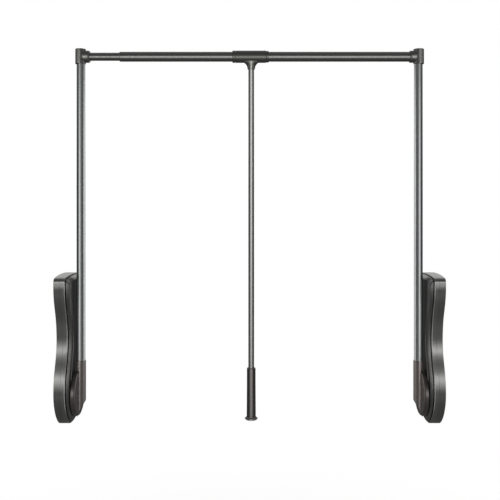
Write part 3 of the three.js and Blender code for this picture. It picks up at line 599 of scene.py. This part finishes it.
class CLOSETROD_OT_holders(bpy.types.Operator):
    """The arm holders: a round hub, and an upright socket whose foot is cut along the slant"""

    bl_idname = "closet_rod.holders"
    bl_label = "Arm Holders"

    def execute(self, context):
        sizes = context.scene.closet_rod_arm
        turns, lip = sizes.turns, sizes.lip_round
        angle = np.linspace(0, 2 * np.pi, turns, endpoint=False)

        def hexagon(angle, rows):
            """Six-sided inside the rim of the screw's socket: 1 / cos of the angle from the middle of a flat."""
            six = 1 / np.cos((angle + np.pi / 6) % (np.pi / 3) - np.pi / 6)
            return np.where(rows[:, :1] < 0.0031, six, 1.0)

        for hand, way in HANDS:
            node, body = f"{hand}_arm_holder", f"{hand}_arm"
            bolt, pin = f"{hand}_pivot_screw", f"{hand}_arm_pin"
            pivot, axis_x = middle(f"{hand}_pivot_shaft", 2), middle(f"{hand}_arm_tube", 0)
            inner, base = sides(node)
            radius, hub = abs(axis_x) - inner - 0.0006, high(node, 1)
            bore = half(f"{hand}_arm_tube", 1) + FINE
            foot, top = low(node, 2), high(node, 2)
            # The hub is a disc with a shallow dish round the screw.
            thickness, dished = 0.0096, 0.0006
            face = base - thickness
            dish = face + dished
            rim = rounded([(0, base, 0), (hub, base, 0.0008), (hub, face, sizes.hub_round),
                           (hub * 0.42, face, 0.004), (hub * 0.36, dish, 0.004), (0, dish, 0)], 7)
            disc = turned("x", (0, 0, pivot), rim * [1, way], turns * 2)
            out = np.stack([-way * np.cos(angle), np.sin(angle)], 1)  # the first one towards the middle

            def ring(distance, height, lift=0.0):
                """Points at a distance from the arm's axis. Height None follows the slant, raised by lift."""
                x, y = (out * distance).T
                share = (base - (abs(axis_x) + way * x)) / (base - inner)
                slant = foot + np.interp(share, SLANT_ROWS[:, 0], SLANT_ROWS[:, 1]) * (top - foot)
                z = slant + lift if height is None else np.full(turns, float(height))
                return np.stack([x + axis_x, y, z], 1)

            # The socket's rings: a spine that shuts the foot, the rounded slant, the outside, mouth and bore.
            spine = ring(radius - 0.0012, None)
            spine[:, 1] *= 0.02
            quarter = np.linspace(0, np.pi / 2, 5)
            mouth = [ring(radius - lip + lip * math.cos(a), top - lip + lip * math.sin(a)) for a in quarter]
            rows = [spine, ring(radius - 0.0012, None), ring(radius - 0.0005, None, 0.0001),
                    ring(radius, None, 0.0007), ring(radius, None, 0.0012), ring(radius, 0.075),
                    ring(radius, top - lip * 1.3), *mouth, ring(bore + FINE, top), ring(bore, top - FINE),
                    ring(bore, 0.0845), ring(bore - 0.001, 0.084)]
            piece(f"{hand}_holder_hub", body, [node], "holder", disc)
            piece(f"{hand}_holder_socket", body, [node], "holder", skin(np.array(rows), False))
            head = abs(middle(bolt, 0)) - half(bolt, 0)
            # Shank, underside, rim and crown of the screw's head, then its socket.
            pan = rounded([(0, head + 0.016, 0), (0.0024, head + 0.016, 0.0005), (0.0024, head + 0.0032, 0),
                           (0.006, head + 0.0032, FINE), (0.006, head, 0.0016), (0.0030, head, 0),
                           (0.0029, head + 0.0022, 0), (0, head + 0.0024, 0)], 5)
            screw = turned("x", (0, 0, pivot), pan * [1, way], 48, shape=hexagon)
            piece(f"{hand}_hub_screw", body, [bolt], "zinc", screw)
            rod = bar("x", (0, 0, middle(pin, 2)), 0.002, low(pin, 0), high(pin, 0), 0.0004, 32)
            piece(f"{hand}_cross_pin", body, [pin], "zinc", rod)
        return {"FINISHED"}


class CLOSETROD_OT_arms(bpy.types.Operator):
    """The upright arm tubes and the elbows with their round caps"""

    bl_idname = "closet_rod.arms"
    bl_label = "Arms and Elbows"

    def execute(self, context):
        sizes = context.scene.closet_rod_arm
        turns, edge, axis_z = sizes.turns, sizes.elbow_round, middle("outer_rail", 2)
        for hand, way in HANDS:
            node, body = f"{hand}_arm_tube", f"{hand}_arm"
            centre, radius = (middle(node, 0), 0, 0), half(node, 0)
            tube = pipe("z", centre, radius, radius - sizes.tube_wall, low(node, 2), high(node, 2), turns)
            piece(f"{hand}_upright_arm", body, [node], "arm", tube)
            node, cap = f"{hand}_elbow", f"{hand}_elbow_cap"
            centre, sleeve = (middle(cap, 0), 0, 0), half(cap, 1)
            foot, head = low(node, 2), low(cap, 2) - FINE
            upright = rounded([(0, foot, 0), (sleeve, foot, edge), (sleeve, head, FINE), (0, head, 0)], 6)
            # The stub towards the rail: a neck inside the sleeve, a fillet, the stub, its rounded tip and bore.
            stub, tip = half(node, 1), sides(node)[0]
            root, neck = abs(centre[0]), sleeve - 0.0009
            rail = half("inner_rail" if hand == "left" else "outer_rail", 1) + FINE
            spout = rounded([(0, root, 0), (neck, root, 0), (neck, root - 0.0035, 0.003),
                             (stub, root - 0.0075, 0.004), (stub, tip + 0.004, 0.006),
                             (stub - 0.0006, tip, edge * 0.7), (rail, tip, FINE), (rail, tip + 0.005, 0),
                             (0, tip + 0.005, 0)], 6)
            piece(f"{hand}_corner", body, [node], "fitting", turned("z", centre, upright, turns),
                  turned("x", (0, 0, axis_z), spout * [1, way], turns))
            lid = rounded([(0, low(cap, 2), 0), (sleeve, low(cap, 2), FINE), (sleeve, high(cap, 2), 0.0007),
                           (0, high(cap, 2), 0)], 5)
            piece(f"{hand}_corner_cap", body, [cap], "fitting", turned("z", centre, lid, turns))
        return {"FINISHED"}


class CLOSETROD_OT_rails(bpy.types.Operator):
    """The thin and the thick tube of the hanging rail, and the bush whose lip shows at the thick one's mouth"""

    bl_idname = "closet_rod.rails"
    bl_label = "Hanging Rail"

    def execute(self, context):
        sizes = context.scene.closet_rod_rail
        for node, wall, name, body in (
            ("inner_rail", sizes.inner_wall, "thin_rail", "left_arm"),
            ("outer_rail", sizes.outer_wall, "thick_rail", "right_arm"),
        ):
            radius = half(node, 1)
            tube = pipe("x", (0, 0, middle(node, 2)), radius, radius - wall, low(node, 0), high(node, 0))
            piece(name, body, [node], "rail", tube)
        # The bush has a lip in front of the thick tube's mouth, and a body inside it.
        node, thickness = "outer_rail_bush", 0.0016
        lip, start, end = half(node, 1), low(node, 0), high(node, 0)
        inner, outer = half("inner_rail", 1) + FINE, lip - sizes.outer_wall - 0.00015
        rows = [(inner, start, FINE), (lip, start, 0.0006), (lip, start + thickness, 0.0002),
                (outer, start + thickness, 0), (outer, end, 0), (inner, end, 0)]
        bush = turned("x", (0, 0, middle(node, 2)), ring_profile(rows[::-1], 4), closed=True)
        piece("rail_mouth_bush", "right_arm", [node], "rail", bush)
        return {"FINISHED"}


class CLOSETROD_OT_connector(bpy.types.Operator):
    """The sleeve on the rail with its flared stem, and the clamp ring at each end of it"""

    bl_idname = "closet_rod.connector"
    bl_label = "Rod Connector"

    def execute(self, context):
        sizes = context.scene.closet_rod_rail
        axis_z, bore = middle("outer_rail", 2), half("outer_rail", 1) + FINE
        for hand, _ in HANDS:
            node = f"{hand}_clamp_ring"
            radius, start, end = half(node, 1) + FINE, low(node, 0), high(node, 0)
            rows = [(radius, start, sizes.ring_round), (radius, end, sizes.ring_round), (bore, end, 0.0002),
                    (bore, start, 0.0002)]
            ring = turned("x", (0, 0, axis_z), ring_profile(rows, 5), closed=True)
            piece(f"{hand}_locking_ring", "clamp_rings", [node], "fitting", ring)
        node, body = "rod_connector", "rod_assembly"
        radius, edge = high(node, 2) - axis_z + 0.0004, 0.0005
        start, end = low(node, 0), high(node, 0)
        rows = [(radius, start, edge), (radius, end, edge), (bore, end, 0.0002), (bore, start, 0.0002)]
        sleeve = turned("x", (0, 0, axis_z), ring_profile(rows, 4), closed=True)
        # The stem's radius falls from the flare to the neck along a fourth power curve. Its section is an
        # ellipse whose depth is its width, held smoothly below the stem's flat.
        rod_x, rod, flat = middle("pull_rod", 0), half("pull_rod", 0), sizes.stem_flat
        foot, flare, neck, rise = axis_z - sizes.stem_bottom, 0.0166, rod + 0.0015, 0.0152
        share = np.linspace(0, 1, 28)
        curve = np.stack([neck + (flare - neck) * (0.32 * share + 0.68 * share**4), foot + share * rise], 1)
        lip = rounded([(rod + FINE, foot + 0.004, 0), (rod + FINE, foot, 0.0002), (neck, foot, 0.0005),
                       (neck, foot + 0.0012, 0)], 4)
        profile = np.vstack([lip[:-1], curve[3:], [[flare, axis_z - bore * 0.9]]])

        def pressed(angle, rows):
            """The ellipse's radius over the width, for each angle."""
            wide = rows[:, :1]
            deep = wide / (1 + (wide / flat) ** 6) ** (1 / 6)
            return deep / np.hypot(deep * np.cos(angle), wide * np.sin(angle))

        stem = turned("z", (rod_x, 0, 0), profile, 96, shape=pressed)
        piece("rail_connector", body, [node], "fitting", sleeve)
        piece("connector_stem", body, [node], "fitting", stem)
        return {"FINISHED"}


class CLOSETROD_OT_rod(bpy.types.Operator):
    """The pull rod, its tapered grip and the flared end cap"""

    bl_idname = "closet_rod.rod"
    bl_label = "Pull Rod and Grip"

    def execute(self, context):
        sizes, body = context.scene.closet_rod_rod, "rod_assembly"
        node = "pull_rod"
        centre, radius = (middle(node, 0), 0, 0), half(node, 0)
        tube = pipe("z", centre, radius, radius - sizes.rod_wall, low(node, 2), high(node, 2))
        piece("hanging_rod", body, [node], "rod", tube)
        # The grip: its mouth round the rod, a flank that widens downwards by the taper, and its foot.
        node, taper = "grip", 0.0005
        foot, top, wide, edge = low(node, 2), high(node, 2), half(node, 0), sizes.grip_round
        mouth = rounded([(radius + FINE, top - 0.006, 0), (radius + FINE, top, FINE),
                         (wide - taper, top, edge), (wide - 0.00035, top - 0.03, 0)], 5)[:-1]
        share = np.linspace(0, 1, 12)[:, None]
        flank = np.hstack([wide - taper + taper * share**1.5, top - 0.01 - share * (top - foot - 0.02)])
        base = rounded([(wide, foot + 0.01, 0), (wide, foot, 0.0004), (0, foot, 0)], 4)[1:]
        piece("pull_handle", body, [node], "grip", turned("z", centre, np.vstack([mouth, flank, base])))
        # The end cap: its underside, a hollow curve from its widest line up to the grip, and a plug in it.
        node = "grip_end_cap"
        foot_end, join, flare = low(node, 2), foot - FINE, half(node, 0)
        lift = join - foot_end
        under = rounded([(0, foot_end, 0), (flare * 0.84, foot_end, 0.0016),
                         (flare, foot_end + lift * 0.26, 0.0022), (flare, foot_end + lift * 0.42, 0)], 6)
        share = np.linspace(0, 1, 9)[1:, None]
        narrow = wide + (flare - wide) * (1 - share) ** 1.7
        hollow = np.hstack([narrow, foot_end + lift * (0.42 + 0.58 * share)])
        plug = rounded([(wide, join, 0), (wide * 0.5, join, FINE), (wide * 0.5, foot + 0.014, 0.0008),
                        (0, foot + 0.014, 0)], 3)[1:]
        piece("handle_end_cap", body, [node], "grip", turned("z", centre, np.vstack([under, hollow, plug])))
        return {"FINISHED"}


class CLOSETROD_OT_springs(bpy.types.Operator):
    """The coil springs inside the cases, drawn at one length, though in the real object they shorten as the arms
    come down
    """

    bl_idname = "closet_rod.springs"
    bl_label = "Springs"

    def execute(self, context):
        sizes = context.scene.closet_rod_rod
        wire, turns = sizes.wire, sizes.coils
        for hand, way in HANDS:
            node, damper = f"{hand}_spring", f"{hand}_damper_cylinder"
            foot, top = low(node, 2), high(node, 2)
            centre = np.array([middle(damper, 0), -middle(damper, 1), 0])
            share = np.linspace(0, 1, turns * 28)  # 28 points a turn
            # The rise is slow over the first and the last turn, so that the end coils lie shut.
            pace = np.clip(np.minimum(share, 1 - share) * turns, 0, 1)
            rise = np.cumsum(0.22 + 0.78 * pace**2 * (3 - 2 * pace))
            rise = (rise - rise[0]) / (rise[-1] - rise[0])
            angle = share * turns * 2 * np.pi
            spoke = np.stack([np.cos(angle), way * np.sin(angle), np.zeros_like(angle)], 1)
            path = centre + spoke * sizes.coil
            path[:, 2] = foot + wire + rise * (top - foot - 2 * wire)
            along = np.gradient(path, axis=0)
            along /= np.linalg.norm(along, axis=1)[:, None]
            side = np.cross(along, spoke)
            around = np.linspace(0, 2 * np.pi, 12, endpoint=False)[None, :, None]
            rings = path[:, None] + wire * (np.cos(around) * spoke[:, None] + np.sin(around) * side[:, None])
            coil, body = skin(rings, False), f"{hand}_rack_carriage"
            spring = piece(f"{hand}_coil_spring", body, [node], "spring", coil)
            travel = next(j for j in frame["joints"] if j["name"] == f"{hand}_rack_slide")["range_m"][1]
            1 - travel / (top - foot)
            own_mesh(spring)
        return {"FINISHED"}


class CLOSETROD_OT_dress(bpy.types.Operator):
    """Finishes for the frame's own nodes, which stay as they are inside the cases and fittings"""

    bl_idname = "closet_rod.dress"
    bl_label = "Dress the Works"

    def execute(self, context):
        nylon = ("damper_cylinder", "pivot_bush", "rail_plug", "glide")
        for name, node in frame["nodes"].items():
            if node.hide_render:
                continue
            kind = "nylon" if any(part in name for part in nylon) else "zinc"
            node.data.materials.clear()
            node.data.materials.append(finish_for(kind))
        return {"FINISHED"}


class CLOSETROD_OT_studio(bpy.types.Operator):
    """Camera, soft boxes, surroundings and the pale floor"""

    bl_idname = "closet_rod.studio"
    bl_label = "Studio"

    def execute(self, context):
        scene, sizes = context.scene, context.scene.closet_rod_studio
        view = bpy.data.cameras.new("photo_camera")
        view.lens, view.sensor_width = 50, 36
        view.shift_x, view.shift_y = 0.0007, -0.1053
        view.clip_start, view.clip_end = 0.05, 60
        camera = bpy.data.objects.new("photo_camera", view)
        camera.location = (0, -sizes.distance, sizes.eye)
        camera.rotation_euler = (math.pi / 2, 0, 0)
        scene.collection.objects.link(camera)
        scene.camera = camera
        scene.view_settings.view_transform = "Standard"
        self.floor(scene, -sizes.floor_drop)
        arms, cases, corners = (
            [f"{hand}_{part}" for hand, _ in HANDS for part in parts]
            for parts in (
                ("upright_arm", "holder_hub", "holder_socket"),
                ("case_back_shell", "case_front_shell", "case_cover"),
                ("corner", "corner_cap"),
            )
        )
        rod, cap = ["hanging_rod"], ["handle_end_cap"]
        # The front box lights the rail, its fittings and the grip. The cases show a window whose lower half
        # is dimmer, and the rod one that fades downwards.
        unlit = arms + cases + corners + rod
        self.lamp("front_soft_box", (0, -3.0, -0.05), (3.6, 1.6), 2.8, unlit, "EXCLUDE")
        self.lamp("case_window", (0, -3.0, 0.54), (3.6, 1.26), 1.8, cases)
        self.lamp("case_window_top", (0, -3.1, 0.80), (3.6, 0.72), 2.5, cases)
        self.lamp("stem_window", (0, -3.1, 0.10), (1.1, 1.8), 6.5, ["connector_stem"])
        self.lamp("cap_window", (0, -0.45, -0.40), (0.5, 0.95), 7.0, cap)
        self.lamp("rod_window", (0, -3.0, 0.55), (3.6, 2.8), 1.2, rod)
        self.lamp("rod_window_top", (0, -3.1, 1.15), (3.6, 2.4), 0.9, rod)
        # Lamps of the right side, which the left side has mirrored. Strips from the front light the outer half
        # of the arm, corner and socket, two of them through the case and the hub, and the far side lights their
        # inner edges. The boxes fill in the corner, the socket and the hub, and light the case's edges.
        for hand, way in HANDS:
            arm, socket, hub, screw, front = (
                [f"{hand}_{part}"]
                for part in ("upright_arm", "holder_socket", "holder_hub", "hub_screw", "case_front_shell")
            )
            case, corner = ([name for name in names if name.startswith(hand)] for names in (cases, corners))
            own, past = arm + socket + corner + screw, case + hub
            for name, place, size, glow, lit, through in (
                ("strip", (1.60, -2.80, 0.20), (2.3, 2.1), 1.5, own, past),
                ("far_side", (-2.5, 1.0, 0.20), (3.8, 2.1), 1.55, own + hub, ()),
                ("corner_strip", (1.60, -2.85, 0.20), (2.3, 2.1), 3.9, corner, ()),
                ("socket_strip", (0.99, -1.45, 0.52), (1.15, 1.2), 6.5, socket, past),
                ("corner_box", (-0.69, -2.9, 0.20), (2.2, 2.1), 0.45, corner, ()),
                ("rim_box", (-1.2, -1.25, -0.25), (1.2, 1.2), 3.0, front, ()),
                ("socket_box", (-2.7, -0.95, 0.20), (2.0, 2.1), 1.7, socket, ()),
                ("hub_window", (1.2, -2.9, 0.40), (1.8, 1.1), 2.6, hub, ()),
                ("fill", (0, -3.2, 0.30), (5.0, 2.3), 0.16, arm + socket + hub, ()),
                ("edge_box", (-3.0, -0.5, 0.03), (3.4, 0.86), 2.0, case, ()),
                ("under_box", (-0.25, -0.2, -0.58), (0.9, 0.6), 1.5, front, ()),
            ):
                x, y, z = place
                self.lamp(f"{hand}_{name}", (way * x, y, z), size, glow, lit, through=through)
            unlit = arms + rod + ["pull_handle"] + cap + ["studio_floor"]
            self.lamp(f"{hand}_side_box", (way * 3.7, -1.56, 0.55), (1.8, 2.8), 1.3, unlit, "EXCLUDE")
        self.surroundings(scene)
        return {"FINISHED"}

    def lamp(self, name, place, size, glow, names, state="INCLUDE", through=()):
        """A level rectangular lamp that faces the object's upright middle line. Its power is pi times its area
        times its glow. It lights only the named objects, or all but them, and those it shines through cast no
        shadow."""
        light = bpy.data.lights.new(name, "AREA")
        light.shape, light.size, light.size_y = "RECTANGLE", *size
        light.energy = glow * math.pi * size[0] * size[1]
        lamp = bpy.data.objects.new(name, light)
        lamp.location = place
        lamp.rotation_euler = (math.pi / 2, 0, math.atan2(place[0], -place[1]))
        lamp.visible_camera = False
        bpy.context.scene.collection.objects.link(lamp)
        if through:
            lamp.light_linking.blocker_collection = self.linked(name + "_clear", through, "EXCLUDE")
        lamp.light_linking.receiver_collection = self.linked(name + "_receivers", names, state)

    def linked(self, name, names, state):
        """A collection of the named objects, all with one state of light linking."""
        group = bpy.data.collections.new(name)
        for entry in names:
            group.objects.link(bpy.data.objects[entry])
        for entry in group.collection_objects:
            entry.light_linking.link_state = state
        return group

    def surroundings(self, scene):
        """White to the camera and through glass. Gloss sees a dim studio, darker high up at the front, with
        the white backdrop behind the object."""
        world = bpy.data.worlds.new("studio")
        world.use_nodes = True
        world.cycles.sampling_method = "NONE"
        scene.world = world
        finish = Finish(world.node_tree)
        ray = finish.add("ShaderNodeLightPath")
        way = finish.add("ShaderNodeSeparateXYZ", {}, {0: finish.add("ShaderNodeTexCoord").out("Generated")})
        back, up = way.out("Y"), way.out("Z")
        backdrop = self.rising(finish, back, 0.6, 0.85) * self.rising(finish, up, 0.0, 0.12)
        sky = self.rising(finish, up, 0.0, 0.6)
        shade = self.rising(finish, up, 0.45, 0.62) * self.rising(finish, back * -1.0, 0.1, 0.45)
        gloss = 0.07 + sky * (1 - shade * 0.75) * 0.36 + backdrop * 0.85
        seen = ray.out("Is Camera Ray") + ray.out("Is Transmission Ray")
        shiny = ray.out("Is Glossy Ray")
        level = seen + (1 - seen) * (shiny * gloss + (1 - shiny) * 0.28)
        glow = finish.add("ShaderNodeBackground", {}, {"Color": level, "Strength": 1.0})
        finish.add("ShaderNodeOutputWorld", {}, {"Surface": glow.out("Background")})

    def rising(self, finish, value, start, end):
        """0 below start, 1 above end and a smooth step between them."""
        settings = {"interpolation_type": "SMOOTHSTEP"}
        return finish.add("ShaderNodeMapRange", settings, {0: value, 1: start, 2: end}).out(0)

    def floor(self, scene, height, reach=3.0):
        """A pale floor, nearly white to the camera and wholly so far out, that keeps the object's shadow. Glossy
        rays see it darker than it is lit, which paints shade into the object's reflections of it.
        """
        mesh = bpy.data.meshes.new("studio_floor")
        corners = [(x * reach, y * reach, height) for x, y in ((-1, -1), (1, -1), (1, 1), (-1, 1))]
        mesh.from_pydata(corners, [], [(0, 1, 2, 3)])
        material = bpy.data.materials.new("pale_floor")
        material.use_nodes = True
        finish = Finish(material.node_tree)
        place = finish.add("ShaderNodeTexCoord").out("Object")
        away = finish.add("ShaderNodeVectorMath", {"operation": "LENGTH"}, {0: place}).out("Value")
        rim = self.rising(finish, away, 1.1, 2.4)
        ray = finish.add("ShaderNodeLightPath")
        # Painted shade in reflections: glossy rays see the floor darker than it is lit.
        pale = finish.blend(ray.out("Is Glossy Ray"), (0.78,) * 3, (0.45,) * 3)
        matt = finish.add("ShaderNodeBsdfDiffuse", {}, {"Color": pale})
        white = finish.add("ShaderNodeEmission", {}, {"Color": (1, 1, 1, 1), "Strength": 1.0})
        share = ray.out("Is Camera Ray") * (0.91 + rim * 0.09)
        mixed = finish.add("ShaderNodeMixShader", {}, {0: share, 1: matt.out(0), 2: white.out(0)})
        finish.add("ShaderNodeOutputMaterial", {}, {"Surface": mixed.out(0)})
        mesh.materials.append(material)
        floor = bpy.data.objects.new("studio_floor", mesh)
        scene.collection.objects.link(floor)


class CLOSETROD_PT_panel(bpy.types.Panel):
    """Lists the sizes, the colours and the steps"""

    bl_idname = "CLOSETROD_PT_panel"
    bl_label = "Pull Down Closet Rod"
    bl_space_type = "VIEW_3D"
    bl_region_type = "UI"
    bl_category = "Closet Rod"

    def draw(self, context):
        for name in GROUPS:
            box = self.layout.box()
            group = getattr(context.scene, name)
            for key in group.__annotations__:
                box.prop(group, key)
        for step in STEPS:
            self.layout.operator(step.bl_idname)


GROUPS = {
    "closet_rod_case": CaseSizes,
    "closet_rod_arm": ArmSizes,
    "closet_rod_rail": RailSizes,
    "closet_rod_rod": RodSizes,
    "closet_rod_finishes": FinishColours,
    "closet_rod_studio": StudioSizes,
}
STEPS = (
    CLOSETROD_OT_shells,
    CLOSETROD_OT_covers,
    CLOSETROD_OT_holders,
    CLOSETROD_OT_arms,
    CLOSETROD_OT_rails,
    CLOSETROD_OT_connector,
    CLOSETROD_OT_rod,
    CLOSETROD_OT_springs,
    CLOSETROD_OT_dress,
    CLOSETROD_OT_studio,
)
CLASSES = (*GROUPS.values(), *STEPS, CLOSETROD_PT_panel)


def register():
    for entry in CLASSES:
        bpy.utils.register_class(entry)
    for name, group in GROUPS.items():
        setattr(bpy.types.Scene, name, PointerProperty(type=group))


def unregister():
    for name in GROUPS:
        delattr(bpy.types.Scene, name)
    for entry in reversed(CLASSES):
        bpy.utils.unregister_class(entry)


def main():
    register()
    for step in STEPS:
        getattr(bpy.ops.closet_rod, step.bl_idname.partition(".")[2])()


if __name__ == "__main__":
    main()
